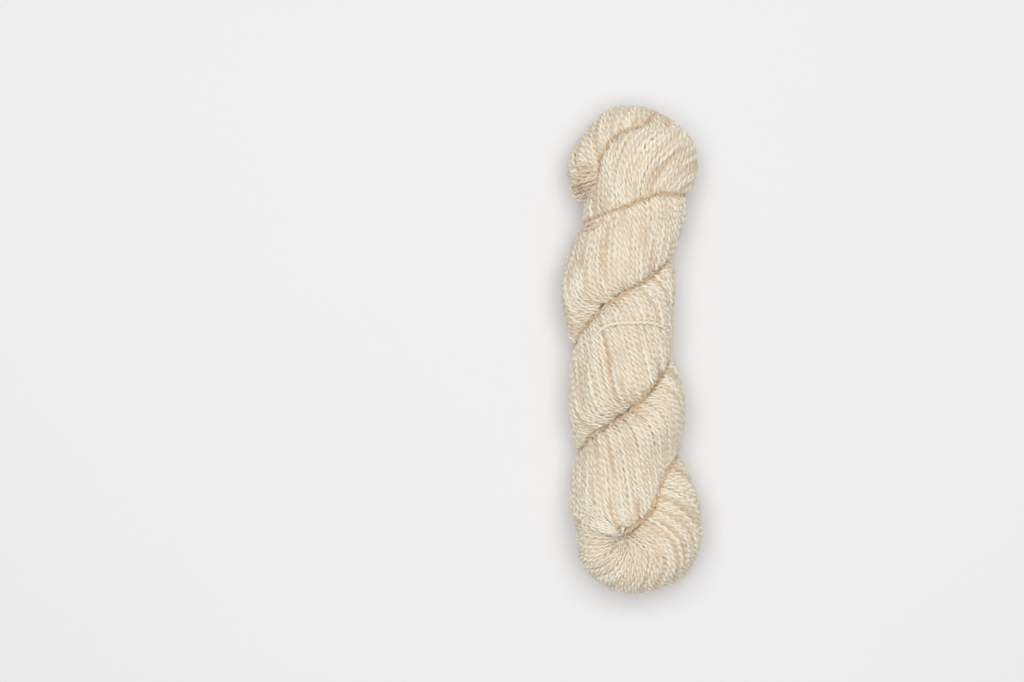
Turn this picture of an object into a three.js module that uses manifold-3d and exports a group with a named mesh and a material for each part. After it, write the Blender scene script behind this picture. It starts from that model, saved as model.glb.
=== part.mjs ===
// A hank of DK weight yarn, lying on its side on a flat surface. Millimetres, +Z up.
// The origin is on the surface, under the middle of the hank. +Y points to the tucked top.
import * as THREE from 'three';
import { mergeVertices } from 'three/addons/utils/BufferGeometryUtils.js';
import { ConvexGeometry } from 'three/addons/geometries/ConvexGeometry.js';
import Module from 'manifold-3d';

const wasm = await Module();
wasm.setup();

// Driving sizes of the hank. The bundle's sections stand upright below FOOT_Y and turn
// square to its line over FOOT_BLEND.
const AXIS_HEIGHT = 24;
const SECTION_SIDES = 28;
const SECTION_SPACING = 3.6;
const OUTER_ROUNDNESS = 2.3;
const INNER_ROUNDNESS = 3;
const FOOT_Y = -94.8;
const FOOT_BLEND = 25;
const HEART_RADIUS = 14;
const HEART_STEPS = 24;
const HEART_SIDES = 12;
const EYE_RADIUS = 15;
const SURFACE_SIZE = 400;
const MERGE_DISTANCE = 1e-5;

// The line that both halves wind round, from the foot's eye up to the tuck
const windingAxis = [
  { x: -5.4, y: -96.8 },
  { x: -4.4, y: -59.8 },
  { x: -3.4, y: -19.8 },
  { x: -5.4, y: 20.2 },
  { x: -0.4, y: 60.2 },
  { x: 2.6, y: 85.2 },
  { x: 1.6, y: 100.2 },
].map((row) => new THREE.Vector3(row.x, row.y, AXIS_HEIGHT));

// The bundle's middle line, a row for each quarter turn. across is half its width,
// out and in are its depth away from the winding axis and towards it.
const foldRows = [
  { at: 'start inside the top', x: 2.6, y: 106.2, z: 18, across: 14, out: 10, in: 8 },
  { at: 'dome, top', x: 10.1, y: 104.2, z: 22, across: 21, out: 15, in: 10 },
  { at: 'dome, right edge', x: 18.6, y: 97.2, z: 26, across: 21, out: 15, in: 13 },
  { at: 'dome, front', x: 3.6, y: 91.7, z: 35, across: 21.5, out: 14, in: 13 },
  { at: 'dome, left edge', x: -10.4, y: 75.2, z: 25, across: 20, out: 14, in: 13 },
  { at: 'behind the second lobe', x: -2.9, y: 50.2, z: 13, across: 19, out: 13, in: 13 },
  { at: 'third lobe, right edge', x: 8.6, y: 26.2, z: 24, across: 20, out: 13.5, in: 13 },
  { at: 'third lobe, front', x: -7.4, y: -4.3, z: 35, across: 23.5, out: 14, in: 13 },
  { at: 'third lobe, left edge', x: -18.4, y: -24.8, z: 24, across: 21.5, out: 14, in: 13 },
  { at: 'behind the fourth lobe', x: -1.4, y: -52.3, z: 13, across: 22, out: 13, in: 13 },
  { at: 'foot, right edge', x: 18.1, y: -80.8, z: 23, across: 20, out: 16.5, in: 17 },
  { at: 'foot, lower right', x: 20.1, y: -95.8, z: 27, across: 23, out: 16, in: 24 },
  { at: 'foot, bottom right', x: 12.6, y: -107.3, z: 26, across: 23, out: 17.5, in: 20 },
  { at: 'foot, bottom', x: 1.6, y: -108.8, z: 24, across: 22, out: 17.5, in: 14 },
  { at: 'foot, lower left', x: -9.4, y: -106.8, z: 23, across: 21, out: 15, in: 11 },
  { at: 'foot, under the fourth lobe', x: -14.9, y: -95.8, z: 20, across: 21, out: 12.5, in: 11 },
  { at: 'fourth lobe, left edge', x: -17.9, y: -81.3, z: 24, across: 26, out: 14, in: 13 },
  { at: 'fourth lobe, front', x: -4.4, y: -63.8, z: 34, across: 26, out: 14, in: 13 },
  { at: 'fourth lobe, right edge', x: 13.6, y: -32.8, z: 24, across: 20, out: 14, in: 13 },
  { at: 'behind the third lobe', x: -4.4, y: -1.3, z: 13, across: 20.5, out: 13, in: 13 },
  { at: 'second lobe, left edge', x: -21.9, y: 35.2, z: 24, across: 22.5, out: 14, in: 13 },
  { at: 'second lobe, front', x: -5.4, y: 53.7, z: 35, across: 23, out: 14, in: 13 },
  { at: 'second lobe, right edge', x: 14.1, y: 73.2, z: 24, across: 17, out: 14, in: 13 },
  { at: 'behind the dome', x: 1.6, y: 84.2, z: 14, across: 18, out: 13, in: 13 },
  { at: 'band, left edge', x: -18.9, y: 93.2, z: 21, across: 17, out: 14, in: 12 },
  { at: 'band, top left', x: -11.4, y: 105.7, z: 22, across: 18, out: 13.5, in: 12 },
  { at: 'band, over the top', x: 2.6, y: 111.7, z: 22, across: 18, out: 13.5, in: 12 },
  { at: 'band, behind the dome', x: 11.6, y: 107.2, z: 20, across: 15, out: 11, in: 10 },
  { at: 'end inside the dome', x: 12.6, y: 98.2, z: 21, across: 10, out: 8, in: 8 },
];
const lastRow = foldRows.length - 1;

// Nearest point of the winding axis
function axisPoint(point) {
  const nearest = new THREE.Vector3();
  const candidate = new THREE.Vector3();
  let best = Infinity;
  for (let i = 0; i + 1 < windingAxis.length; i += 1) {
    new THREE.Line3(windingAxis[i], windingAxis[i + 1])
      .closestPointToPoint(point, true, candidate);
    if (candidate.distanceTo(point) < best) {
      best = candidate.distanceTo(point);
      nearest.copy(candidate);
    }
  }
  return nearest;
}

// The rows' points with one more between each two, which is pushed out to their mean
// distance from the winding axis, so that the line runs round and not in corners
const linePoints = [];
foldRows.forEach((row, i) => {
  const point = new THREE.Vector3(row.x, row.y, row.z);
  if (i) {
    const before = linePoints[linePoints.length - 1];
    const halfway = before.clone().add(point).multiplyScalar(0.5);
    const centre = axisPoint(halfway);
    const distance = (before.distanceTo(axisPoint(before))
      + point.distanceTo(axisPoint(point))) / 2;
    linePoints.push(halfway.sub(centre).setLength(distance).add(centre));
  }
  linePoints.push(point);
});
const bundleLine = new THREE.CatmullRomCurve3(linePoints, false, 'centripetal');
const bundleSizes = new THREE.CatmullRomCurve3(
  foldRows.map((row) => new THREE.Vector3(row.across, row.out, row.in)), false, 'catmullrom');

// Middle, directions and sizes of the bundle at a row number. Over most of its length the
// section is square to the line. In the foot it stands upright and faces the eye.
function bundleFrame(row) {
  const t = row / lastRow;
  const middle = bundleLine.getPoint(t);
  const along = bundleLine.getTangent(t);
  const square = THREE.MathUtils.smoothstep(middle.y, FOOT_Y, FOOT_Y + FOOT_BLEND);
  const out = middle.clone().sub(axisPoint(middle)).normalize();
  out.addScaledVector(along, -square * out.dot(along)).normalize();
  along.z *= square;
  const side = new THREE.Vector3().crossVectors(along, out).normalize();
  return { middle, out, side, sizes: bundleSizes.getPoint(t) };
}

// Sections along the bundle. Each counts its outline from a direction that is carried
// along without turning, so that the facets run straight.
const sections = [];
const carried = new THREE.Vector3(0, 0, 1);
function addSection(row) {
  const section = bundleFrame(row);
  carried.projectOnPlane(new THREE.Vector3().crossVectors(section.side, section.out));
  carried.normalize();
  section.firstAngle = Math.atan2(carried.dot(section.out), carried.dot(section.side));
  sections.push(section);
}
for (let i = 0; i < lastRow; i += 1) {
  const length = bundleFrame(i).middle.distanceTo(bundleFrame(i + 1).middle);
  const steps = Math.max(2, Math.round(length / SECTION_SPACING));
  for (let k = 0; k < steps; k += 1) addSection(i + k / steps);
}
addSection(lastRow);

// A section's outline: one rounded half faces out, a flatter one faces the axis
function sectionOutline(section) {
  const curve = (value, power) => Math.sign(value) * Math.abs(value) ** power;
  return Array.from({ length: SECTION_SIDES }, (_, i) => {
    const angle = section.firstAngle + 2 * Math.PI * i / SECTION_SIDES;
    const across = Math.cos(angle);
    const up = Math.sin(angle);
    const power = 2 / (up > 0 ? OUTER_ROUNDNESS : INNER_ROUNDNESS);
    const depth = up > 0 ? section.sizes.y : section.sizes.z;
    return section.middle.clone()
      .addScaledVector(section.side, curve(across, power) * section.sizes.x)
      .addScaledVector(section.out, curve(up, power) * depth);
  });
}

function toSolid(geometry) {
  const bare = geometry.clone();
  bare.deleteAttribute('normal');
  bare.deleteAttribute('uv');
  const merged = mergeVertices(bare, MERGE_DISTANCE);
  return new wasm.Manifold(new wasm.Mesh({
    numProp: 3,
    vertProperties: Float32Array.from(merged.attributes.position.array),
    triVerts: Uint32Array.from(merged.index.array),
  }));
}

function toGeometry(solid) {
  const mesh = solid.getMesh();
  const geometry = new THREE.BufferGeometry();
  geometry.setAttribute('position', new THREE.BufferAttribute(mesh.vertProperties, 3));
  geometry.setIndex(new THREE.BufferAttribute(mesh.triVerts, 1));
  const merged = mergeVertices(geometry, MERGE_DISTANCE);
  merged.computeVertexNormals();
  return merged;
}

// The bundle is the hulls of each three neighbouring sections, joined
const outlines = sections.map(sectionOutline);
const slices = outlines.slice(2).map((outline, i) => toSolid(
  new ConvexGeometry([...outlines[i], ...outlines[i + 1], ...outline])));
let hank = wasm.Manifold.union(slices);

// The heart of the twist, which the plies close over, with its round end in the eye
const heart = new THREE.Shape().absarc(0, 0, HEART_RADIUS, 0, 2 * Math.PI);
hank = hank.add(toSolid(new THREE.ExtrudeGeometry(heart, {
  steps: HEART_STEPS,
  curveSegments: HEART_SIDES / 2,
  bevelEnabled: false,
  extrudePath: new THREE.CatmullRomCurve3(windingAxis),
})));
const eye = new THREE.SphereGeometry(EYE_RADIUS, 2 * HEART_SIDES, HEART_SIDES);
eye.translate(windingAxis[0].x, windingAxis[0].y, windingAxis[0].z);
hank = hank.add(toSolid(eye));

// The surface it lies on presses the back of the lobes flat
const surface = new THREE.BoxGeometry(SURFACE_SIZE, SURFACE_SIZE, SURFACE_SIZE);
surface.translate(0, 0, -SURFACE_SIZE / 2);
hank = hank.subtract(toSolid(surface));

// Scraps that the cut leaves loose are dropped with the air between the plies
hank = hank.decompose().reduce((most, other) => (
  other.volume() > most.volume() ? other : most));

const group = new THREE.Group();
const wool = new THREE.MeshStandardMaterial({ color: 0xdfd2ba, roughness: 0.95, metalness: 0 });
const mesh = new THREE.Mesh(toGeometry(hank), wool);
mesh.name = 'hank';
group.add(mesh);

export default group;
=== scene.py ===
# %% [markdown]
# # A hank of DK weight yarn
#
# A spinner winds yarn round a reel into a ring of loose turns, takes the ring off, twists
# it hard and lets it fold in half. The two halves then wind round each other, and the open
# end is tucked into the top. What we see is one fat bundle of turns that goes down the
# hank, round the foot and up again. This lesson dresses a plain solid of that form with
# real turns of two-ply wool.
#
# The first cell loads the solid hank in its own frame: +Z is up, +Y points along the hank
# to its tucked top. Blender counts in metres. We work in millimetres, which are easier to
# read, and scale them when a mesh is made.

# %% Load the solid hank
import math
import bpy
import numpy as np
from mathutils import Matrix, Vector
from mathutils.bvhtree import BVHTree
from mathutils.kdtree import KDTree


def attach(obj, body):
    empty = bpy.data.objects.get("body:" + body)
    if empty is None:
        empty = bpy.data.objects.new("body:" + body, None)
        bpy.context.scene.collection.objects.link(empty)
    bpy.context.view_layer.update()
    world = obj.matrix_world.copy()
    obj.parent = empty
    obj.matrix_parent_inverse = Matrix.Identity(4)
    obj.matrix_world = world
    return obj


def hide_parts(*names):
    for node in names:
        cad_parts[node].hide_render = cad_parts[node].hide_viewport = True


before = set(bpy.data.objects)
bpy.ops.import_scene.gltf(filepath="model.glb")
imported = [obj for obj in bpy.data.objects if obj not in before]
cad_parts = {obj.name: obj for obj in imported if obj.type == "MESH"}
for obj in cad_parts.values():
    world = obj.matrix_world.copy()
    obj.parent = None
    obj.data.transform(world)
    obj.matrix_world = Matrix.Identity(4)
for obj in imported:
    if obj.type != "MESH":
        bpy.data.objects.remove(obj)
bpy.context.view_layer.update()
solid_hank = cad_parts["hank"]
bpy.ops.object.select_all(action="DESELECT")

# %% [markdown]
# ## The camera
#
# The picture is a flat lay: the camera hangs straight above the table, and the hank lies to
# the right of its middle. We could shift the lens, but a camera that simply hangs further
# to the left does it too, and keeps working when it is moved round the object.

# %% Hang the camera above the table
MM = 0.001
CAMERA_PLACE = Vector((-61.64, 4.315, 1200)) * MM
CAMERA_LENS = 80.26
SENSOR_WIDTH = 36

bpy.ops.object.camera_add(location=CAMERA_PLACE, rotation=(0, 0, 0))
camera = bpy.context.object
camera.name = "camera"
camera.data.lens = CAMERA_LENS
camera.data.sensor_width = SENSOR_WIDTH
bpy.context.scene.camera = camera
print("camera", round(CAMERA_PLACE.z, 2), "m above the table")

# %% [markdown]
# ## The bundle
#
# The turns can't be placed one by one by hand, there are metres of them. Instead we write
# down where the whole bundle goes, a row for each quarter turn, with its half width and its
# depth away from the hank's heart and towards it. A smooth curve through the rows is then
# the line that all the turns wind round.

# %% Where the bundle goes, in millimetres
HEART_HEIGHT = 24
FOOT_Y = -94.8
FOOT_BLEND = 25
OUTER_ROUNDNESS = 2.3
INNER_ROUNDNESS = 3

heart_line = np.array([
    # x, y
    (-5.4, -96.8),
    (-4.4, -59.8),
    (-3.4, -19.8),
    (-5.4, 20.2),
    (-0.4, 60.2),
    (2.6, 85.2),
    (1.6, 100.2),
])
heart_line = np.column_stack([heart_line, np.full(len(heart_line), HEART_HEIGHT)])

bundle_rows = [
    # place, x, y, z, half width, depth out, depth in
    ("start inside the top", 2.6, 106.2, 18, 14, 10, 8),
    ("dome, top", 10.1, 104.2, 22, 21, 15, 10),
    ("dome, right edge", 18.6, 97.2, 26, 21, 15, 13),
    ("dome, front", 3.6, 91.7, 35, 21.5, 14, 13),
    ("dome, left edge", -10.4, 75.2, 25, 20, 14, 13),
    ("behind the second lobe", -2.9, 50.2, 13, 19, 13, 13),
    ("third lobe, right edge", 8.6, 26.2, 24, 20, 13.5, 13),
    ("third lobe, front", -7.4, -4.3, 35, 23.5, 14, 13),
    ("third lobe, left edge", -18.4, -24.8, 24, 21.5, 14, 13),
    ("behind the fourth lobe", -1.4, -52.3, 13, 22, 13, 13),
    ("foot, right edge", 18.1, -80.8, 23, 20, 16.5, 17),
    ("foot, lower right", 20.1, -95.8, 27, 23, 16, 24),
    ("foot, bottom right", 12.6, -107.3, 26, 23, 17.5, 20),
    ("foot, bottom", 1.6, -108.8, 24, 22, 17.5, 14),
    ("foot, lower left", -9.4, -106.8, 23, 22.5, 15, 11),
    ("foot, under the fourth lobe", -14.9, -95.8, 22, 24, 12.5, 11),
    ("fourth lobe, left edge", -17.9, -80.3, 24, 24, 14, 13),
    ("fourth lobe, front", -4.4, -63.8, 34, 26, 14, 13),
    ("fourth lobe, right edge", 13.6, -32.8, 24, 20, 14, 13),
    ("behind the third lobe", -4.4, -1.3, 13, 20.5, 13, 13),
    ("second lobe, left edge", -21.9, 35.2, 24, 22.5, 14, 13),
    ("second lobe, front", -5.4, 53.7, 35, 23, 14, 13),
    ("second lobe, right edge", 14.1, 73.2, 24, 17, 14, 13),
    ("behind the dome", 1.6, 84.2, 14, 18, 13, 13),
    ("band, left edge", -18.9, 93.2, 21, 17, 14, 12),
    ("band, top left", -11.4, 105.7, 22, 18, 13.5, 12),
    ("band, over the top", 2.6, 111.7, 22, 18, 13.5, 12),
    ("band, behind the dome", 11.6, 107.2, 20, 15, 11, 10),
    ("end inside the dome", 12.6, 98.2, 21, 10, 8, 8),
]
LAST_ROW = len(bundle_rows) - 1
row_middles = np.array([row[1:4] for row in bundle_rows], float)
row_sizes = np.array([row[4:7] for row in bundle_rows], float)
print(len(bundle_rows), "rows")

# %% [markdown]
# The curve is a Catmull-Rom spline, which passes through all its points. With only four
# rows a turn it would cut the corners, so a point halfway between each two rows is pushed
# out to the right distance from the heart of the hank.

# %% A smooth line through the rows
def nearest_on_heart(points):
    """The nearest place to each point on the hank's heart, and how far off it is."""
    best = np.full(len(points), np.inf)
    nearest = np.zeros_like(points)
    for a, b in zip(heart_line[:-1], heart_line[1:]):
        t = np.clip((points - a) @ (b - a) / ((b - a) @ (b - a)), 0, 1)
        candidate = a + t[:, None] * (b - a)
        distance = np.linalg.norm(points - candidate, axis=1)
        closer = distance < best
        best[closer], nearest[closer] = distance[closer], candidate[closer]
    return nearest, best


def spline(points, at, centripetal):
    """Catmull-Rom curve through the points, at these fractions of its point numbers."""
    points = np.vstack([2 * points[0] - points[1], points, 2 * points[-1] - points[-2]])
    at = np.clip(at, 0, len(points) - 3 - 1e-9)
    k = at.astype(int)
    w = (at - k)[:, None]
    p0, p1, p2, p3 = (points[k + i] for i in range(4))
    if centripetal:
        d0, d1, d2 = (np.linalg.norm(b - a, axis=1)[:, None] ** 0.5
                      for a, b in ((p0, p1), (p1, p2), (p2, p3)))
        m1 = ((p1 - p0) / d0 - (p2 - p0) / (d0 + d1) + (p2 - p1) / d1) * d1
        m2 = ((p2 - p1) / d1 - (p3 - p1) / (d1 + d2) + (p3 - p2) / d2) * d1
    else:
        m1, m2 = (p2 - p0) / 2, (p3 - p1) / 2
    return (p1 + m1 * w + (3 * (p2 - p1) - 2 * m1 - m2) * w ** 2
            + (2 * (p1 - p2) + m1 + m2) * w ** 3)


line_points = [row_middles[0]]
for before, after in zip(row_middles[:-1], row_middles[1:]):
    halfway = (before + after) / 2
    centres, reach = nearest_on_heart(np.array([before, after, halfway]))
    outward = (halfway - centres[2]) / np.linalg.norm(halfway - centres[2])
    line_points += [centres[2] + outward * (reach[0] + reach[1]) / 2, after]
line_points = np.array(line_points)

ROWS_STEP = 0.02
rows = np.arange(0, LAST_ROW + ROWS_STEP / 2, ROWS_STEP)
middle = spline(line_points, 2 * rows, centripetal=True)
size = spline(row_sizes, rows, centripetal=False)
lengths = np.linalg.norm(np.diff(middle, axis=0), axis=1)
print("the bundle is", round(lengths.sum()), "mm long")

# %% [markdown]
# ## The bundle's skin
#
# At each step the bundle has a section: well rounded where it faces out, flatter where it
# presses on the other half. Its points are spread evenly round it, so that a turn of yarn
# can be placed by two numbers: how far along the bundle, and how far round it.

# %% Sections of the bundle
def unit(vectors):
    """The same directions, each one long."""
    return vectors / np.maximum(np.linalg.norm(vectors, axis=-1, keepdims=True), 1e-9)


along = unit(np.gradient(middle, axis=0))
upright = np.clip((middle[:, 1] - FOOT_Y) / FOOT_BLEND, 0, 1)[:, None]
square = upright ** 2 * (3 - 2 * upright)
out = unit(middle - nearest_on_heart(middle)[0])
out = unit(out - square * (out * along).sum(1, keepdims=True) * along)
flat_along = along * np.hstack([np.ones_like(square), np.ones_like(square), square])
side = unit(np.cross(flat_along, out))

ROUND_STEPS = 96
OUTLINE_STEPS = 4 * ROUND_STEPS
fine = np.linspace(0, 2 * math.pi, OUTLINE_STEPS + 1)
across, up = np.cos(fine), np.sin(fine)
power = 2 / np.where(up > 0, OUTER_ROUNDNESS, INNER_ROUNDNESS)
across, up = (np.sign(v) * np.abs(v) ** power for v in (across, up))
depth = np.where(up > 0, size[:, 1:2], size[:, 2:3])
edge = (middle[:, None] + side[:, None] * (across * size[:, :1])[..., None]
        + out[:, None] * (up * depth)[..., None])

skin = np.empty((len(rows), ROUND_STEPS, 3))
girth = np.empty(len(rows))
for i, ring in enumerate(edge):
    travelled = np.insert(np.cumsum(np.linalg.norm(np.diff(ring, axis=0), axis=1)), 0, 0)
    girth[i] = travelled[-1]
    even = np.arange(ROUND_STEPS) / ROUND_STEPS * girth[i]
    skin[i] = np.column_stack([np.interp(even, travelled, ring[:, c]) for c in range(3)])
print("girth", girth.min().round(), "to", girth.max().round(), "mm")

# %% [markdown]
# ## The lay of the turns
#
# Because the ring was twisted before it folded, the turns don't run along the bundle: they
# climb round it at a steep angle. Where the bundle bends, turns at one fixed angle would
# crowd together on one side and part on the other, and real ones share the room. So we
# number the turns by a phase that grows by one round the bundle, and let a least squares
# fit spread it: its slope over the skin should come as near as it can to one turn for each
# width of yarn, across the lay. The skin that faces out counts most. A coarser grid is
# enough for this, and the conjugate gradient method solves it.

# %% Spread the turns evenly over the skin
TURNS = 27
TURN_WIDTH = 2.25
COARSE_ROWS = 5
COARSE_ROUND = 2
SHORTEST_ROW = 0.2
LEAST_TRUST = 0.03
MOST_FIT_ROUNDS = 3000
FIT_IS_DONE = 1e-10

lay_angles = np.array([
    # row, degrees between a turn and the bundle
    (0, -80), (1, -75), (1.5, -50), (2, -10), (2.5, 28), (3, 46), (4, 50), (5, 54),
    (7, 54), (9, 57), (10, 53), (11, 56), (12, 70), (13, 86), (14, 84), (14.5, 66),
    (15, 56), (15.5, 48), (16, 48), (17, 54), (19, 54), (21, 52), (23, 54), (24, 48),
    (25.5, 54), (26.5, 70), (28, 72),
])

d_row = np.gradient(skin, ROWS_STEP, axis=0)
d_round = (np.roll(skin, -1, 1) - np.roll(skin, 1, 1)) * ROUND_STEPS / 2
normal = unit(np.cross(d_row, d_round))
outward = skin - middle[:, None]
normal *= np.sign((normal * outward).sum(-1, keepdims=True))
lengthways = along[:, None] - (along[:, None] * normal).sum(-1, keepdims=True) * normal
lengthways = unit(lengthways)
lay_angle = np.radians(np.interp(rows, *lay_angles.T))[:, None, None]
across_lay = (np.cos(lay_angle) * np.cross(normal, lengthways)
              - np.sin(lay_angle) * lengthways)
slope = across_lay / (TURNS * TURN_WIDTH)

coarse = (slice(None, None, COARSE_ROWS), slice(None, None, COARSE_ROUND))
row_gap, round_gap = COARSE_ROWS * ROWS_STEP, COARSE_ROUND / ROUND_STEPS
long_row = np.linalg.norm(d_row, axis=-1)
long_row = np.maximum(long_row, SHORTEST_ROW * long_row.mean(1, keepdims=True))[coarse]
long_round = np.linalg.norm(d_round, axis=-1)[coarse]
wanted_row = (slope * d_row).sum(-1)[coarse]
wanted_round = (slope * d_round).sum(-1)[coarse] - 1
shows = np.maximum((normal * out[:, None]).sum(-1), normal[..., 2])
trust = (LEAST_TRUST + np.clip(shows, 0, 1) ** 2)[coarse]
weight_row = trust * long_round / long_row
weight_round = trust * long_row / long_round
weight_row = (weight_row[1:] + weight_row[:-1]) / 2
weight_round = (weight_round + np.roll(weight_round, -1, 1)) / 2
wanted_row = (wanted_row[1:] + wanted_row[:-1]) / 2
wanted_round = (wanted_round + np.roll(wanted_round, -1, 1)) / 2


def gather(flow_row, flow_round):
    """What flows together at each point of the coarse grid."""
    total = (np.roll(flow_round, 1, 1) - flow_round) / round_gap
    total[1:] += flow_row / row_gap
    total[:-1] -= flow_row / row_gap
    return total


def stiffness(q):
    """How strongly a phase pulls at each point, the left side of the fit."""
    return gather(weight_row * np.diff(q, axis=0) / row_gap,
                  weight_round * (np.roll(q, -1, 1) - q) / round_gap)


scale = (weight_round + np.roll(weight_round, 1, 1)) / round_gap ** 2
scale[1:] += weight_row / row_gap ** 2
scale[:-1] += weight_row / row_gap ** 2
phase = np.zeros_like(scale)
rest = gather(weight_row * wanted_row, weight_round * wanted_round)
step = rest / scale
energy = (rest * step).sum()
first_energy = energy
for fit_round in range(MOST_FIT_ROUNDS):
    pushed = stiffness(step)
    part = energy / (step * pushed).sum()
    phase += part * step
    rest -= part * pushed
    eased = rest / scale
    energy, old_energy = (rest * eased).sum(), energy
    step = eased + energy / old_energy * step
    if energy < FIT_IS_DONE * first_energy:
        break
print("fitted in", fit_round, "rounds")

# %% [markdown]
# ## The path of each turn
#
# A turn is now a line of one phase. We walk along all of them at once in small steps: a
# step at right angles to the slope of the phase, then a small correction back to the turn's
# own number. Real turns wander a little, so each gets slow waves of its own.

# %% Walk every turn along the bundle
LONGEST_TURN = 2000
START_ROW = 7.0
START_SHARE = 0.3
YARN_STEP = 0.94
UNDER_STEP = 2 * YARN_STEP
WAVES = 4
WANDER_WAVES = (35, 90)
LEAST_PACE = 0.5
LEAST_SLOPE = 0.05
SETTLE_ROUNDS = 30
EASE = 0.5
random = np.random.default_rng(7)


def read(table, row, around):
    """A table of the skin, read at any row and place round it."""
    i = np.clip(row / LAST_ROW, 0, 0.99999) * (len(table) - 1)
    j = around % 1 * table.shape[1]
    i0, j0 = i.astype(int), j.astype(int) % table.shape[1]
    a, b, j1 = i - i0, j - np.floor(j), (j0 + 1) % table.shape[1]
    if table.ndim > 2:
        a, b = a[..., None], b[..., None]
    return ((table[i0, j0] * (1 - b) + table[i0, j1] * b) * (1 - a)
            + (table[i0 + 1, j0] * (1 - b) + table[i0 + 1, j1] * b) * a)


def slow_waves(at, strength, shortest, longest):
    """A sum of waves of random length and place, one line for each turn."""
    total = np.zeros((TURNS, len(at)))
    for wave in range(WAVES):
        length = random.uniform(shortest, longest, (TURNS, 1))
        total += np.sin(2 * math.pi * (at / length + random.random((TURNS, 1))))
    return total * strength / math.sqrt(WAVES)


phase_row = np.gradient(phase, row_gap, axis=0)
phase_round = 1 + (np.roll(phase, -1, 1) - np.roll(phase, 1, 1)) / 2 / round_gap
spread = np.linalg.norm(d_row[coarse] * phase_round[..., None]
                        - d_round[coarse] * phase_row[..., None], axis=-1)
patch = np.linalg.norm(np.cross(d_row, d_round)[coarse], axis=-1)
room = patch / np.maximum(spread, 1) / TURNS
row_stretch = (d_row * along[:, None]).sum(-1)[coarse]
print("room for a turn, mm:", np.percentile(room, [5, 50, 95]).round(2))


def heading(row, around):
    """The step along a turn, in rows and rounds, that is one millimetre long."""
    step_row, step_round = read(phase_round, row, around), -read(phase_row, row, around)
    moved = (read(d_row, row, around) * step_row[:, None]
             + read(d_round, row, around) * step_round[:, None])
    length = np.maximum(np.linalg.norm(moved, axis=1), LEAST_PACE)
    return step_row / length, step_round / length


def walk_turns(first, step, waves):
    """Rows and places round the bundle of all turns, walking on from the start row."""
    turn_row, turn_round = np.empty((2, TURNS, waves.shape[1]))
    wanted = (np.arange(TURNS) + first) / TURNS
    row, around = np.full(TURNS, START_ROW), wanted.copy()
    for settle in range(SETTLE_ROUNDS):
        around += EASE * (wanted - around - read(phase, row, around))
    number = around + read(phase, row, around)
    for i in range(waves.shape[1]):
        turn_row[:, i], turn_round[:, i] = row, around
        half_row, half_round = heading(row, around)
        half_row, half_round = heading(row + half_row * step / 2,
                                       around + half_round * step / 2)
        row, around = row + half_row * step, around + half_round * step
        off = around + read(phase, row, around) - number - waves[:, i]
        slope_row = read(phase_row, row, around)
        slope_round = read(phase_round, row, around)
        steep = np.maximum(slope_row ** 2 + slope_round ** 2, LEAST_SLOPE)
        back = EASE * off / steep
        row = np.clip(row - back * slope_row, 0, LAST_ROW)
        around = around - back * slope_round
    return turn_row, turn_round


def wind_turns(first, step, wander):
    """All turns from end to end, and how far along each of their points is."""
    far = np.arange(0, LONGEST_TURN, step)
    waves = slow_waves(far, wander, *WANDER_WAVES) / TURNS
    begin = round(len(far) * START_SHARE)
    waves -= waves[:, begin:begin + 1]
    before = walk_turns(first, -step, waves[:, begin::-1])
    after = walk_turns(first, step, waves[:, begin:])
    return [np.hstack([b[:, :0:-1], a]) for b, a in zip(before, after)] + [far]


surface_turns = wind_turns(0, YARN_STEP, wander=0.11)
under_turns = wind_turns(0.5, UNDER_STEP, wander=0.04)
ends = (surface_turns[0][:, 0].max(), surface_turns[0][:, -1].min())
print("the turns reach from row", round(ends[0], 1), "to row", round(ends[1], 1))

# %% [markdown]
# ## Creases
#
# Where two lobes meet, the turns dive into the crease between them. To know where that is,
# we look from each point for the nearest skin of another part of the bundle, which must be
# a few rows away. Near a crease the turns sink in, and their wool is given a painted shade,
# a warm tan. The same is done in a few small dents in the top and by the eye of the foot.

# %% Find the creases
CREASE_WIDTH = 3.4
CREASE_DEPTH = 0.4
ANOTHER_PART = 4.0
AT_THE_CREASE = 3

skin_points = skin[coarse].reshape(-1, 3)
skin_normals = normal[coarse].reshape(-1, 3)
skin_rows = np.repeat(rows[::COARSE_ROWS], phase.shape[1]).tolist()
skin_tree = KDTree(len(skin_points))
for i, point in enumerate(skin_points):
    skin_tree.insert(point, i)
skin_tree.balance()


def crease_at(point, up, row):
    """1 on the line where two parts meet, 0 out on a lobe."""
    place, i, distance = skin_tree.find(
        point, filter=lambda i: bool(abs(skin_rows[i] - row) > ANOTHER_PART))
    above = abs(float(np.dot(np.asarray(point) - place, skin_normals[i])))
    steep = np.linalg.norm(np.cross(up, skin_normals[i]))
    off = max(above, distance - AT_THE_CREASE)
    return max(0.0, 1 - off / (CREASE_WIDTH * steep + 0.01))


# In these dents the turns sink in a little, and their wool gets the crease's painted shade.
dents = np.array([
    # x, y, radius
    (-28.2, 90.4, 3.0),
    (-16.6, 64.9, 3.6),
    (-11.6, 66.4, 3.0),
    (-6.6, -97.0, 3.0),
    (-11.4, -102.4, 3.0),
    (-14.6, -103.8, 3.0),
    (-26.5, 82.5, 6.5),
])


def dent_at(point):
    """1 in the middle of a small dent, 0 outside it and on the hank's underside."""
    if point[2] < HEART_HEIGHT:
        return 0.0
    reach = np.linalg.norm(dents[:, :2] - point[:2], axis=1)
    return max(0.0, (1 - reach / dents[:, 2]).max())


print("crease out on the second lobe:", crease_at((-6, 54, 48), (0, 0, 1), 21))
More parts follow.
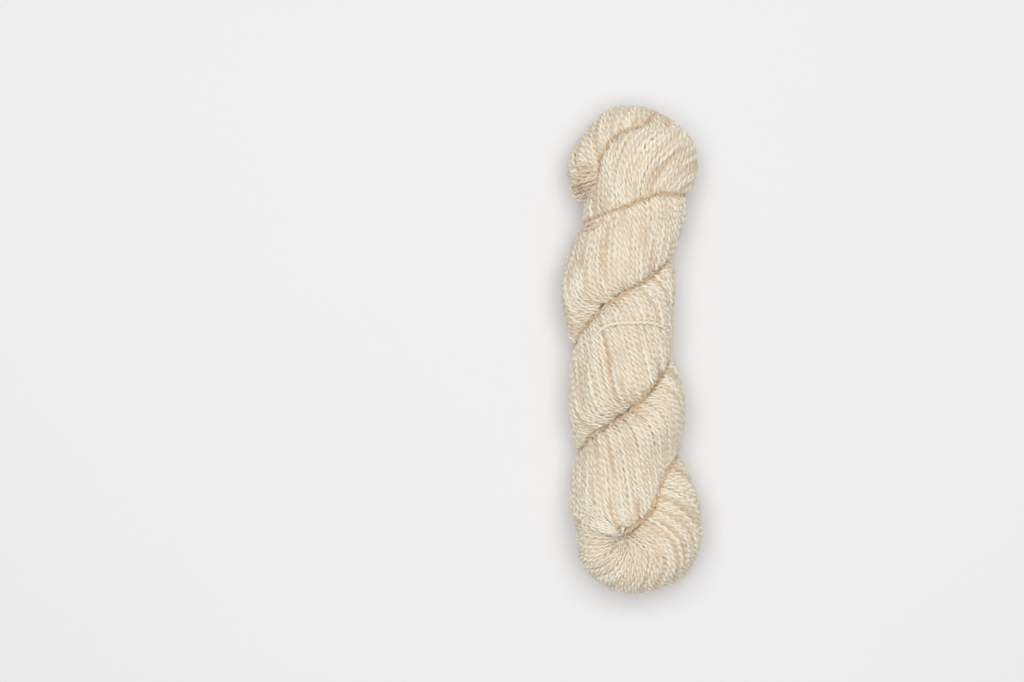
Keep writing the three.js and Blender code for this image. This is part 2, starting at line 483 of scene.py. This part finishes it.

# %% [markdown]
# ## Only what shows
#
# Much of each turn lies deep in the hank, where the halves press on each other. We ask the
# solid how deep every point is and keep the stretches near its surface, with a little more
# at both ends so that no end shows. Some stretches ride higher than others, and some sink
# into a groove. Where the turns are crowded they get thinner, or one stands for two. The
# grooves and the crowded places also get a painted shade, like the creases.

# %% Cut the turns into runs near the surface
YARN_RADIUS = 1.17
THINNEST = 0.62
THICKEST = 1.4
DEEPEST = 3.0
DEEPER_IN_CREASE = 2
CREASE_SEARCH = 3
MARGIN = 2.8
END_ROWS = 0.2
LEFT_OUT = 99
CROWDED = 0.6
FOLDED = 0.3
GATHERED = 1.3
# painted shade where the turns are crowded
GATHERED_CREASE = 0.85
RISE_WAVES = (25, 70)
GROOVES = 1.6
GROOVES_FROM = 0.8
GROOVE_WAVES = (60, 160)
GROOVE_DEPTH = 0.6
# painted shade in the grooves
GROOVE_CREASE = 0.8

tree = BVHTree.FromObject(solid_hank, bpy.context.evaluated_depsgraph_get())


def depth_in_solid(point):
    """How deep the point lies in the solid, less than nothing outside it."""
    place, facing_out, _, distance = tree.find_nearest(Vector(point) * MM)
    inside = (Vector(point) * MM - place).dot(facing_out) < 0
    return distance / MM if inside else -distance / MM


def evened(values):
    """Each point of the turns as the mean of five, which takes out small kinks."""
    padded = np.pad(values, ((0, 0), (2, 2), (0, 0)), mode="edge")
    return sum(padded[:, i:i + values.shape[1]] for i in range(5)) / 5


def cut_runs(turns, depth, rise, least_painted_shade=0.0, least_space=0.0):
    """The stretches of the turns near the surface, as a list of runs."""
    turn_row, turn_round, far = turns
    facing = unit(evened(read(normal, turn_row, turn_round)))
    waves = slow_waves(far, rise, *RISE_WAVES)[..., None]
    groove = np.clip(slow_waves(far, GROOVES, *GROOVE_WAVES) - GROOVES_FROM, 0, 1)
    space = read(room, turn_row, turn_round)
    stretch = read(row_stretch, turn_row, turn_round)
    shared = 1 + (space < CROWDED) + 2 * (space < CROWDED / 2)
    thick = np.clip(space * shared / TURN_WIDTH, THINNEST, THICKEST)
    on_skin = read(skin, turn_row, turn_round)
    path = evened(on_skin + facing * (waves - YARN_RADIUS * thick[..., None]))
    margin = round(MARGIN / (far[1] - far[0]))
    runs = []
    for turn in range(TURNS):
        points, faces_out, at = path[turn], facing[turn], turn_row[turn]
        deep = np.array([depth_in_solid(point) for point in points])
        deep[(at < END_ROWS) | (at > LAST_ROW - END_ROWS)] = LEFT_OUT
        deep[(turn % shared[turn] > 0) | (space[turn] < least_space)] = LEFT_OUT
        deep[stretch[turn] < FOLDED] = LEFT_OUT
        crease = np.zeros(len(far))
        near = np.flatnonzero(deep < DEEPEST + CREASE_SEARCH)
        crease[near] = [max(crease_at(on_skin[turn, i], faces_out[i], at[i]),
                            dent_at(on_skin[turn, i])) for i in near]
        shown = deep < DEEPEST + DEEPER_IN_CREASE * crease
        shown = np.convolve(shown, np.ones(2 * margin + 1), "same") > 0
        gathered = np.clip(1 - space[turn] / GATHERED, 0, 1)
        # Crowded stretches and grooves get a share of the crease's painted shade.
        crease = np.maximum(crease, GATHERED_CREASE * gathered)
        sunk = depth + CREASE_DEPTH * crease ** 2 + GROOVE_DEPTH * groove[turn]
        crease = np.maximum(crease, GROOVE_CREASE * groove[turn])
        points = points - faces_out * sunk[:, None]
        points[:, 2] = np.maximum(points[:, 2], YARN_RADIUS)
        edges = np.flatnonzero(np.diff(np.concatenate([[False], shown, [False]])))
        for a, b in zip(edges[::2], edges[1::2]):
            if b - a > 2 * margin + 2:
                runs.append({"points": points[a:b], "facing": faces_out[a:b],
                             "crease": np.maximum(crease[a:b], least_painted_shade),
                             "row": at[a:b].mean(), "turn": turn, "start": far[a],
                             "thick": thick[turn, a:b], "ride": waves[turn, a:b, 0]})
    return runs


surface_runs = cut_runs(surface_turns, depth=0, rise=0.42)
# Painted shade: the turns below are all given some of the crease's warm tan.
under_runs = cut_runs(under_turns, depth=0.6, rise=0.15, least_painted_shade=0.7,
                      least_space=0.5)
for runs, step in ((surface_runs, YARN_STEP), (under_runs, UNDER_STEP)):
    metres = sum(len(run["points"]) for run in runs) * step * MM
    print(len(runs), "runs,", round(metres, 1), "m")

# %% [markdown]
# ## Spinning the yarn
#
# This yarn is two plies twisted round each other. If we drew each ply as its own tube, many
# faces would be hidden between them, so we sweep the outline of both together, a rounded
# eight, and turn it once for each pitch of the twist. The pitch differs from turn to turn,
# the twist drifts along it, and the yarn swells and thins a little. All runs of one part of
# the hank become one mesh, each a closed tube with its ends capped. The turns below need
# less detail, since we only see them through the gaps.

# %% A mesh of two-ply yarn along any path
TWIST_PITCH = 7.5
PLY_RADIUS = 0.8
PLY_OFFSET = 0.56
VALLEY_SHADE = 0.3
RIDE_SHADE = 1.5
LOWEST_YARN = 0.02

# unevenness: strength, length in mm, and the shift from each turn to the next
PITCH_SPREAD, PITCH_SHIFT = 0.17, 2.4
TWIST_SHIFT = 0.618
DRIFT, DRIFT_LENGTH, DRIFT_SHIFT = 1.4, 13, 1.7
SLUBS, SLUB_WAVES = 0.07, ((3.1, 2.3), (7.3, 1.1))


def ply_pair(angles):
    """The outline of two plies: rows of x, y and a painted shade, dark between them."""
    angles = np.radians(angles)
    # Painted shade: dark in the valley between the plies, light on their crowns.
    ply_shade = VALLEY_SHADE + (1 - VALLEY_SHADE) * np.cos(angles) ** 2
    one = np.column_stack([PLY_OFFSET + PLY_RADIUS * np.cos(angles),
                           PLY_RADIUS * np.sin(angles), ply_shade])
    groove = [[0, math.sqrt(PLY_RADIUS ** 2 - PLY_OFFSET ** 2), 0]]
    other = one * (-1, -1, 1)
    return np.vstack([one, groove, other, np.array(groove) * (-1, -1, 1)])


full_section = ply_pair([-85, -28, 28, 85])
plain_section = ply_pair([-50, 50])


def spin_yarn(name, runs, section, thickness=1.0):
    """One mesh of yarn along the runs, with how it shades kept as attributes."""
    ring = len(section)
    places, faces, sizes, travelled = [], [], [], []
    kept = {"ply_shade": [], "height": [], "tint": [], "crease": []}
    first = 0
    for run in runs:
        points, up = run["points"], run["facing"]
        n = len(points)
        forward = unit(np.gradient(points, axis=0))
        up = unit(up - (up * forward).sum(1, keepdims=True) * forward)
        right = np.cross(forward, up)
        walked = np.linalg.norm(np.diff(points, axis=0), axis=1)
        distance = run["start"] + np.insert(np.cumsum(walked), 0, 0)
        pitch = TWIST_PITCH * (1 + PITCH_SPREAD * math.sin(run["turn"] * PITCH_SHIFT))
        turned = 2 * math.pi * (distance / pitch + run["turn"] * TWIST_SHIFT)
        turned += DRIFT * np.sin(distance / DRIFT_LENGTH + run["turn"] * DRIFT_SHIFT)
        x, y, ply_shade = section.T * [[thickness], [thickness], [1]]
        c, s = np.cos(turned)[:, None], np.sin(turned)[:, None]
        slubs = sum(np.sin(distance / length + run["turn"] * shift)
                    for length, shift in SLUB_WAVES)
        swell = (run["thick"] * (1 + SLUBS * slubs))[:, None]
        a, b = (x * c - y * s) * swell, (x * s + y * c) * swell
        places.append((points[:, None] + right[:, None] * a[..., None]
                       + up[:, None] * b[..., None]).reshape(-1, 3))
        here = first + np.arange(n - 1)[:, None] * ring + np.arange(ring)
        beside = first + np.arange(n - 1)[:, None] * ring + (np.arange(ring) + 1) % ring
        quads = np.stack([here, here + ring, beside + ring, beside], -1).reshape(-1)
        faces += [quads, first + np.arange(ring),
                  first + (n - 1) * ring + np.arange(ring)[::-1]]
        sizes += [np.full((n - 1) * ring, 4), [ring, ring]]
        # Painted shade between the plies, kept at each point.
        kept["ply_shade"].append(np.tile(ply_shade, n))
        # Painted shade: the low side of the yarn and its sunk stretches come out darker.
        kept["height"].append((b + RIDE_SHADE * run["ride"][:, None]).reshape(-1))
        kept["tint"].append(np.full(n * ring, random.random()))
        kept["crease"].append(np.repeat(run["crease"], ring))
        travelled.append(np.repeat(distance / TWIST_PITCH, ring))
        first += n * ring
    places, faces, sizes = (np.concatenate(part) for part in (places, faces, sizes))
    places[:, 2] = np.maximum(places[:, 2], LOWEST_YARN)
    mesh = bpy.data.meshes.new(name)
    mesh.vertices.add(len(places))
    mesh.vertices.foreach_set("co", (places * MM).astype(np.float32).reshape(-1))
    mesh.loops.add(len(faces))
    mesh.loops.foreach_set("vertex_index", faces.astype(np.int32))
    mesh.polygons.add(len(sizes))
    mesh.polygons.foreach_set("loop_start",
                              np.insert(np.cumsum(sizes)[:-1], 0, 0).astype(np.int32))
    mesh.update(calc_edges=True)
    mesh.shade_smooth()
    for word, values in kept.items():
        mesh.attributes.new(word, "FLOAT", "POINT").data.foreach_set(
            "value", np.concatenate(values).astype(np.float32))
    uv = np.column_stack([np.tile(np.arange(ring) / ring, len(places) // ring),
                          np.concatenate(travelled)])
    mesh.uv_layers.new(name="yarn").data.foreach_set(
        "uv", uv[faces].astype(np.float32).reshape(-1))
    piece = bpy.data.objects.new(name, mesh)
    bpy.context.collection.objects.link(piece)
    triangles = int((sizes - 2).sum())
    print(name, len(runs), "runs,", triangles, "triangles")
    return piece


parts = {
    # part of the hank: up to which row
    "strands_dome": 4.6,
    "strands_third_lobe": 9.3,
    "strands_foot": 15.4,
    "strands_fourth_lobe": 19.2,
    "strands_second_lobe": 23.2,
    "strands_band": LAST_ROW + 1,
}
yarn_pieces = []
since = -1
for name, until in parts.items():
    chosen = [run for run in surface_runs if since < run["row"] <= until]
    yarn_pieces.append(spin_yarn(name, chosen, full_section))
    since = until
yarn_pieces.append(spin_yarn("strands_under", under_runs, plain_section, thickness=1.4))

# %% [markdown]
# ## Turns laid one by one
#
# Some turns don't follow the winding. Where the end of the hank is tucked in, a few slack
# ones stand out of the left side of the top as small loops, and one has slipped across the
# third lobe. Others lie down in the seams between the lobes. Each is written down as a few
# points on the hank seen from above, and how far it is lifted there. A negative lift takes
# its end down between the turns.

# %% Loops and turns in the seams
slack_turns = {
    # name: rows of x, y, lift
    "outer loop": [(-17.5, 92.4, -2.5), (-21.7, 93.5, 1.0), (-26.8, 94.0, 1.8),
                   (-30.9, 93.3, 1.8), (-32.4, 91.4, 1.4), (-31.9, 89.4, 1.2),
                   (-29.4, 87.9, 1.2), (-25.8, 87.1, 1.2), (-21.7, 87.3, 0.9),
                   (-17.5, 88.9, -2.5)],
    "inner loop": [(-17.5, 91.4, -2.0), (-21.7, 91.2, 1.2), (-25.2, 90.7, 1.8),
                   (-26.6, 89.7, 1.8), (-25.2, 88.6, 1.6), (-21.7, 88.9, 1.0),
                   (-17.5, 89.9, -2.0)],
    "crossing loop": [(-17.5, 87.8, -2.5), (-22.7, 86.5, 1.0), (-27.3, 85.0, 1.8),
                      (-30.4, 84.3, 1.8), (-31.4, 83.0, 1.2), (-29.9, 82.2, 1.0),
                      (-26.8, 83.0, 1.4), (-22.7, 84.3, 1.2), (-17.5, 85.8, -2.5)],
    "lower loop": [(-18.6, 83.2, -2.5), (-23.7, 82.2, 1.0), (-27.8, 81.2, 1.4),
                   (-29.9, 79.9, 1.2), (-28.8, 78.6, 1.0), (-25.2, 79.4, 1.2),
                   (-21.7, 80.7, 1.0), (-18.4, 82.2, -2.5)],
    "lowest loop": [(-19.6, 80.2, -2.5), (-23.2, 78.6, 1.0), (-26.3, 77.9, 1.2),
                    (-26.8, 76.6, 1.0), (-24.7, 76.1, 1.0), (-21.7, 77.4, 0.8),
                    (-19.1, 78.7, -2.5)],
    "loop at the seam": [(-16.8, 66.6, -2.0), (-21.4, 64.4, 1.2), (-24.6, 62.6, 1.6),
                         (-24.9, 61.2, 1.4), (-22.4, 61.4, 1.2), (-18.4, 63.2, 0.8),
                         (-15.2, 64.8, -2.0)],
    "turn across the third lobe": [(-20.6, 4.8, -2.0), (-18.0, 8.4, 0.6),
                                   (-14.9, 11.5, 1.1), (-10.2, 13.0, 1.2),
                                   (-1.0, 13.5, 1.2), (9.2, 13.5, 1.2), (15.3, 11.5, 0.9),
                                   (18.4, 9.4, 0.2), (20.0, 7.8, -2.2)],
    "turn in the seam of the third lobe": [
        (12.8, -11.5, -2.4), (8.4, -18.6, -0.8), (4.2, -24.8, -0.5), (1.1, -27.6, -0.5),
        (-0.5, -29.0, -0.5), (-5.5, -33.0, -0.5), (-10.5, -36.8, -0.8),
        (-15.0, -40.0, -2.4)],
    "lower turn in the seam of the third lobe": [
        (8.0, -20.5, -2.4), (4.2, -26.3, -1.0), (1.1, -29.3, -0.9), (-3.0, -32.8, -0.8),
        (-7.5, -36.2, -0.9), (-12.5, -39.5, -2.4)],
    "turn in the seam of the second lobe": [
        (0.5, 31.9, -2.4), (-4.0, 28.9, -0.9), (-8.0, 26.0, -0.6), (-11.8, 23.2, -0.5),
        (-15.0, 20.8, -0.5), (-18.5, 17.8, -0.9), (-21.6, 14.5, -2.4)],
    "turn in the seam by the eye": [
        (-7.5, -95.3, -2.6), (-4.5, -93.0, -1.6), (-1.1, -90.6, -1.6),
        (1.6, -88.6, -1.8), (5.5, -86.0, -2.6)],
}
print(len(slack_turns), "loops and turns")

# %% [markdown]
# Nine short turns run into the eye of the foot from all sides, and eleven bend over the lip
# beside it, each a share of the way from its upper end to its lower one. All of them are
# then dropped on the solid by a ray from high above.

# %% Turns round the eye, and all of them set on the hank
HIGH_ABOVE = 200
SLACK_RIDE = 0.2
EYE = (-6.6, -97.2)
EYE_TURNS = 9
FIRST_EYE_TURN = 160
EYE_PROFILE = ((0.4, -3.4), (1.6, -2.0), (3.4, -1.1), (5.4, -1.2), (7.4, -2.6))
LIP_TURNS = 11
slack_runs = []


def hand_laid(points, facing, crease, thick, ride):
    """A run of yarn for the mesh, like those that were cut from the turns."""
    return {"points": points, "facing": facing, "crease": crease,
            "turn": len(slack_runs) * 3, "start": 0,
            "thick": np.full(len(points), thick), "ride": np.full(len(points), ride)}


def lay_on_hank(points, least_painted_shade, thick):
    """The slack turn as a run of yarn, set on the solid seen from above."""
    points = np.array(points, float)
    walked = np.linalg.norm(np.diff(points, axis=0), axis=1).sum()
    at = np.linspace(0, len(points) - 1, round(walked / YARN_STEP))
    points = spline(points, at, centripetal=True)
    facing = np.tile([0.0, 0.0, 1.0], (len(points), 1))
    for i, (x, y, lift) in enumerate(points):
        place, up, _, _ = tree.ray_cast(Vector((x, y, HIGH_ABOVE)) * MM, (0, 0, -1))
        height = place.z / MM if place else 0
        points[i, 2] = max(height, HEART_HEIGHT) + lift
        if place and height > HEART_HEIGHT:
            facing[i] = up
    even = np.ones(5) / 5
    padded = np.pad(points[:, 2], 2, mode="edge")
    points[:, 2] = np.convolve(padded, even, "valid")
    crease = np.array([max(dent_at(point), least_painted_shade) for point in points])
    return hand_laid(points, facing, crease, thick, SLACK_RIDE)


for i in range(EYE_TURNS):
    way = math.radians(FIRST_EYE_TURN + i * 360 / EYE_TURNS)
    slack_turns[f"turn into the eye {i + 1}"] = [
        (EYE[0] + reach * math.cos(way), EYE[1] + reach * math.sin(way), lift)
        for reach, lift in EYE_PROFILE]

lip_lifts = [-2.6, 0.1, 0.5, 0.3, -2.0]
upper_lip = np.array([(-24.6, -71.3), (-20.6, -79.4), (-15.5, -85.5), (-10.9, -90.0),
                      (-6.9, -94.1)])
lower_lip = np.array([(-27.0, -95.1), (-24.0, -98.2), (-18.8, -99.7), (-13.2, -100.2),
                      (-8.2, -99.2)])
for i, share in enumerate(np.linspace(0, 1, LIP_TURNS)):
    slack_turns[f"turn over the lip {i + 1}"] = np.column_stack(
        [(1 - share) * upper_lip + share * lower_lip, lip_lifts])

kinds = {
    # word in the name: least painted shade of a crease, thickness
    # Painted shade: the loops and the turns in the seams are given a warm tan.
    "loop": (0.7, 0.85),
    "seam": (0.85, 1.2),
    "turn": (0, 0.85),
}
for name, points in slack_turns.items():
    kind = next(word for word in kinds if word in name)
    slack_runs.append(lay_on_hank(points, *kinds[kind]))
print(len(slack_runs), "turns laid by hand")

# %% [markdown]
# In the right side of the top the bundle folds so deep that the winding leaves a gap. Five
# upright turns close it. From above they can't be placed, so here the rays come from the
# side, and where one misses we take the nearest place on the solid.

# %% Close the deep fold
SIDE_VIEW = Vector((0.7, -0.7, 0.15))
SIDE_DISTANCE = 60
FOLD_PLACE = (25, 86)
FOLD_HEIGHTS = (4, 30)
FOLD_TURNS = (-5, -2.6, -0.2, 2.2, 4.6)
FOLD_SLANT = 0.7
FOLD_POINTS = 60
# painted shade for the turns deep in the fold
FOLD_CREASE = 0.8
FOLD_THICKNESS = 1.25
FOLD_SUNK = 1.1
FOLD_ENDS_SUNK = 1.5

for aside in FOLD_TURNS:
    points = np.zeros((FOLD_POINTS, 3))
    facing = np.zeros((FOLD_POINTS, 3))
    x, y = (place + FOLD_SLANT * aside for place in FOLD_PLACE)
    for i, z in enumerate(np.linspace(*FOLD_HEIGHTS, FOLD_POINTS)):
        spot = Vector((x, y, z))
        seen_from = (spot + SIDE_DISTANCE * SIDE_VIEW) * MM
        place, up, _, _ = tree.ray_cast(seen_from, -SIDE_VIEW)
        if place is None:
            place, up, _, _ = tree.find_nearest(spot * MM)
        points[i], facing[i] = place / MM, up
    points, facing = evened(points[None])[0], unit(evened(facing[None])[0])
    sunk = FOLD_SUNK + FOLD_ENDS_SUNK * np.linspace(-1, 1, FOLD_POINTS) ** 4
    slack_runs.append(hand_laid(points - facing * sunk[:, None], facing,
                                np.full(FOLD_POINTS, FOLD_CREASE), FOLD_THICKNESS, 0.0))
yarn_pieces.append(spin_yarn("slack_turns", slack_runs, full_section))

# %% [markdown]
# ## Loose fibres
#
# Wool is never smooth: short fibres stand off every turn and give the hank its soft halo.
# Real wool has far more of them than we can draw. A few thousand, each a bent three-sided
# tube that grows thinner to its tip, are enough to break the outline, and they share one
# mesh. They grow near the surface and outside the creases.

# %% Grow the loose fibres
FIBRES = 8500
SHORTEST_FIBRE = 1.6
LONGEST_FIBRE = 5.0
FIBRE_RADIUS = 0.07
TIP_THINNING = 0.7
ROOT_HEIGHT = 0.9
UPRIGHT = (0.25, 1.1)
BENT = (0.2, 0.9)
OUT_OF_CREASES = 0.3
NEAR_SURFACE = 1.8
LOWEST_FIBRE = 0.05
FIBRE_SHARES = (0, 0.33, 0.66, 1)
FIBRE_CORNERS = 3
FIBRE_POINTS = FIBRE_CORNERS * len(FIBRE_SHARES)
FIBRE_TRIANGLES = 20

roots = np.vstack([run["points"] for run in surface_runs])
root_facing = np.vstack([run["facing"] for run in surface_runs])
root_heading = np.vstack([unit(np.gradient(run["points"], axis=0)) for run in surface_runs])
root_crease = np.concatenate([run["crease"] for run in surface_runs])
lit = np.flatnonzero((root_crease < OUT_OF_CREASES)
                     & [depth_in_solid(point) < NEAR_SURFACE for point in roots])
picked = lit[random.integers(len(lit), size=FIBRES)]
root, facing, forward = roots[picked], root_facing[picked], root_heading[picked]
sideways = np.cross(facing, forward)
lean = random.uniform(-1, 1, (FIBRES, 2))
start_way = unit(facing * random.uniform(*UPRIGHT, (FIBRES, 1))
                 + forward * lean[:, :1] + sideways * lean[:, 1:])
bend = unit(random.normal(size=(FIBRES, 3))) * random.uniform(*BENT, (FIBRES, 1))
length = random.uniform(SHORTEST_FIBRE, LONGEST_FIBRE, (FIBRES, 1))
first_side = unit(np.cross(start_way, bend))
second_side = np.cross(start_way, first_side)
fibre_rings = []
for share in FIBRE_SHARES:
    way = start_way * share + bend * share ** 2 / 2
    centre = root + facing * ROOT_HEIGHT + length * way
    thin = FIBRE_RADIUS * (1 - TIP_THINNING * share)
    for corner in np.radians((0, 120, 240)):
        fibre_rings.append(centre + thin * (math.cos(corner) * first_side
                                            + math.sin(corner) * second_side))
fibre_points = np.stack(fibre_rings, 1).reshape(-1, 3)
fibre_points[:, 2] = np.maximum(fibre_points[:, 2], LOWEST_FIBRE)
one_fibre = [(r + k, r + (k + 1) % 3, r + 3 + (k + 1) % 3, r + 3 + k)
             for r in (0, 3, 6) for k in range(3)]
first_points = np.arange(FIBRES)[:, None, None] * FIBRE_POINTS
walls = (first_points + np.array(one_fibre)).reshape(-1, 4)
caps = (first_points + np.array([(2, 1, 0), (9, 10, 11)])).reshape(-1, 3)
mesh = bpy.data.meshes.new("loose_fibres")
mesh.from_pydata((fibre_points * MM).tolist(), [], walls.tolist() + caps.tolist())
mesh.shade_smooth()
loose_fibres = bpy.data.objects.new("loose_fibres", mesh)
bpy.context.collection.objects.link(loose_fibres)
print(FIBRES, "fibres,", FIBRES * FIBRE_TRIANGLES, "triangles")

# %% [markdown]
# ## The core
#
# Behind the turns that we have laid lie many more, which we only sense as a warm dark
# between them. A copy of the solid, pulled in by more than the yarn's radius, stands for
# them all. It replaces the solid itself, which is a little too big.

# %% Shrink a copy of the solid
CORE_INSET = 2.7

bpy.ops.object.select_all(action="DESELECT")
solid_hank.select_set(True)
bpy.context.view_layer.objects.active = solid_hank
bpy.ops.object.duplicate()
core = bpy.context.object
core.name = core.data.name = "core"
bpy.ops.object.mode_set(mode="EDIT")
bpy.ops.mesh.select_all(action="SELECT")
bpy.ops.mesh.remove_doubles(threshold=1e-6)
bpy.ops.transform.shrink_fatten(value=-CORE_INSET * MM)
bpy.ops.object.mode_set(mode="OBJECT")
bpy.ops.object.shade_smooth()
print("core:", len(core.data.polygons), "faces")

# %% [markdown]
# ## Wool
#
# Cream wool is matt and a little translucent at its edges: a rough surface with a soft
# sheen. What we see from afar is mostly the shade between the plies and the turns, so that
# shade is painted into the colour: it goes from a warm tan deep down to a painted
# highlight, nearly white, on the crowns.

# %% A small helper for shader maths
class Sum:
    """A socket that can be added and multiplied like a number."""

    def __init__(self, tree, socket):
        self.tree, self.socket = tree, socket

    def node(self, kind, settings=None, **inputs):
        """A new node. Its inputs are given by name, or by number as _0, _1 and so on."""
        made = self.tree.nodes.new(kind)
        for word, value in (settings or {}).items():
            setattr(made, word, value)
        for key, value in inputs.items():
            at = int(key[1:]) if key[1:].isdigit() else key.replace("_", " ")
            if isinstance(value, Sum):
                self.tree.links.new(value.socket, made.inputs[at])
            else:
                made.inputs[at].default_value = value
        return made

    def _math(self, operation, a, b):
        return Sum(self.tree, self.node("ShaderNodeMath", {"operation": operation},
                                        _0=a, _1=b).outputs[0])

    def __add__(self, other): return self._math("ADD", self, other)
    def __radd__(self, other): return self._math("ADD", other, self)
    def __sub__(self, other): return self._math("SUBTRACT", self, other)
    def __mul__(self, other): return self._math("MULTIPLY", self, other)
    def __rmul__(self, other): return self._math("MULTIPLY", other, self)


def linear(red, green, blue):
    """A colour as the screen shows it, 0 to 255, made linear for a shader."""
    return tuple((v / 255 / 12.92 if v < 10 else ((v / 255 + 0.055) / 1.055) ** 2.4)
                 for v in (red, green, blue)) + (1,)


print("the middle grey of a screen is", round(linear(128, 128, 128)[0], 2), "to a shader")

# %% [markdown]
# Each turn carries four numbers at every point: a painted shade between its plies, how high
# the yarn rides, a tint of its own, and how deep in a crease it is. All but the tint are
# used as painted shade: the valleys between the plies, the low side of the yarn and its
# sunk stretches come out darker, and the creases are mixed towards a warm tan. A noise
# stretched along the yarn adds the look of fibres. Their sum picks the colour on a ramp,
# from painted shade to a painted highlight.

# %% The wool of the turns
# Painted shade in the creases and deep down, the wool's own cream, and a painted highlight.
CREASE_SHADE_WOOL = linear(186, 144, 90)
SHADED_WOOL = linear(212, 189, 150)
WOOL = linear(240, 227, 203)
LIT_WOOL = linear(249, 242, 226)
FIBRE_STRETCH = (22, 5, 1)
BASE, BY_CROWN, BY_TINT, BY_FIBRES, BY_HEIGHT = 0.3, 0.52, 0.18, 0.4, 0.17


def new_material(name, roughness):
    """A material, its shader and a hand to build maths with."""
    material = bpy.data.materials.new(name)
    material.use_nodes = True
    shader = material.node_tree.nodes["Principled BSDF"]
    shader.inputs["Roughness"].default_value = roughness
    return material, shader, Sum(material.node_tree, None)


wool, shader, maths = new_material("wool", roughness=0.88)
shader.inputs["Subsurface Weight"].default_value = 0.3
shader.inputs["Subsurface Radius"].default_value = (1.0, 0.93, 0.8)
shader.inputs["Subsurface Scale"].default_value = 0.0008
shader.inputs["Sheen Weight"].default_value = 0.25
shader.inputs["Sheen Roughness"].default_value = 0.5
shader.inputs["Specular IOR Level"].default_value = 0.25
link = wool.node_tree.links.new


def read_attribute(word):
    """One of the numbers that the yarn's points carry."""
    made = maths.node("ShaderNodeAttribute", {"attribute_name": word})
    return Sum(wool.node_tree, made.outputs["Fac"])


ply_shaded, tinted, high, creased = (
    read_attribute(word) for word in ("ply_shade", "tint", "height", "crease"))
yarn_uv = Sum(wool.node_tree, maths.node("ShaderNodeUVMap", {"uv_map": "yarn"}).outputs[0])
stretched = Sum(wool.node_tree, maths.node(
    "ShaderNodeMapping", Vector=yarn_uv, Scale=FIBRE_STRETCH).outputs[0])
noise = maths.node("ShaderNodeTexNoise", Vector=stretched, Scale=1.0, Detail=3.0,
                   Roughness=0.6)
fibres = Sum(wool.node_tree, noise.outputs["Fac"])
# The ply shade and the height are painted shade; the tint and the fibres are the wool's
# own.
shade = (BASE + BY_CROWN * ply_shaded + BY_TINT * (tinted - 0.5)
         + BY_FIBRES * (fibres - 0.5) + BY_HEIGHT * high)
ramp = maths.node("ShaderNodeValToRGB", Fac=shade)
ramp.color_ramp.elements[0].color = SHADED_WOOL
ramp.color_ramp.elements[1].color = LIT_WOOL
ramp.color_ramp.elements.new(0.5).color = WOOL
# Painted shade: the creases are mixed towards a warm tan.
crease_shaded = maths.node("ShaderNodeMix", {"data_type": "RGBA"},
                  Factor=creased * creased * creased,
                  _6=Sum(wool.node_tree, ramp.outputs["Color"]), _7=CREASE_SHADE_WOOL)
link(crease_shaded.outputs[2], shader.inputs["Base Color"])
bump = maths.node("ShaderNodeBump", Strength=0.5, Distance=0.0003, Height=fibres)
link(bump.outputs["Normal"], shader.inputs["Normal"])
print("wool has", len(wool.node_tree.nodes), "nodes")

# %% [markdown]
# The core and the loose fibres need less. A soft noise moves each between two shades: a
# painted shade, dark and warm, for the core, because little light gets down there, and a
# painted light, nearly white, for the single fibres, which catch it.

# %% The dark between the turns, and the fibres that catch the light
def clouded(name, roughness, scale, dark, light):
    """A material that drifts between two colours."""
    material, shader, maths = new_material(name, roughness)
    place = Sum(material.node_tree, maths.node("ShaderNodeTexCoord").outputs["Object"])
    noise = maths.node("ShaderNodeTexNoise", Vector=place, Scale=scale, Detail=2.0)
    clouds = Sum(material.node_tree, noise.outputs["Fac"])
    ramp = maths.node("ShaderNodeValToRGB", Fac=clouds)
    ramp.color_ramp.elements[0].color = dark
    ramp.color_ramp.elements[1].color = light
    material.node_tree.links.new(ramp.outputs["Color"], shader.inputs["Base Color"])
    return material


# Painted shade on the core, painted light on the loose fibres.
core_wool = clouded("core_wool", roughness=0.95, scale=300.0,
                    dark=linear(176, 144, 102), light=linear(202, 170, 126))
fibre_wool = clouded("fibre_wool", roughness=0.8, scale=500.0,
                     dark=linear(244, 228, 200), light=linear(255, 250, 238))

for piece in yarn_pieces:
    piece.data.materials.append(wool)
loose_fibres.data.materials.append(fibre_wool)
core.data.materials.clear()
core.data.materials.append(core_wool)
for piece in yarn_pieces + [loose_fibres, core]:
    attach(piece, "root")
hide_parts("hank")
print("wool on", len(yarn_pieces), "pieces and the core")

# %% [markdown]
# ## Table and light
#
# The picture shows a nearly white table, and light so soft that it leaves only a narrow
# shadow round the hank. A large square lamp high above and a bright world do the same.

# %% A pale table
TABLE_SIZE = 4
TABLE_HEIGHT = -0.0002

bpy.ops.mesh.primitive_plane_add(size=TABLE_SIZE, location=(0, 0, TABLE_HEIGHT))
table = bpy.context.object
table.name = "table"
table.data.materials.append(clouded("pale_table", roughness=0.9, scale=3.0,
                                    dark=(0.82, 0.82, 0.83, 1),
                                    light=(0.845, 0.845, 0.855, 1)))
print("table,", TABLE_SIZE, "m wide")

# %% Soft lights
WORLD_STRENGTH = 0.37
SOFTBOX_PLACE = (-0.05, 0.14, 1.6)
SOFTBOX_TILT = (math.radians(-5), math.radians(-2), 0)
SOFTBOX_SIZE = 1.2
SOFTBOX_POWER = 20.4

world = bpy.context.scene.world or bpy.data.worlds.new("room")
bpy.context.scene.world = world
world.use_nodes = True
background = world.node_tree.nodes["Background"]
background.inputs["Color"].default_value = (1, 1, 1, 1)
background.inputs["Strength"].default_value = WORLD_STRENGTH

bpy.ops.object.light_add(type="AREA", location=SOFTBOX_PLACE, rotation=SOFTBOX_TILT)
softbox = bpy.context.object
softbox.name = "softbox"
softbox.data.shape = "SQUARE"
softbox.data.size = SOFTBOX_SIZE
softbox.data.energy = SOFTBOX_POWER
bpy.context.scene.view_settings.view_transform = "Standard"
print("lights on")
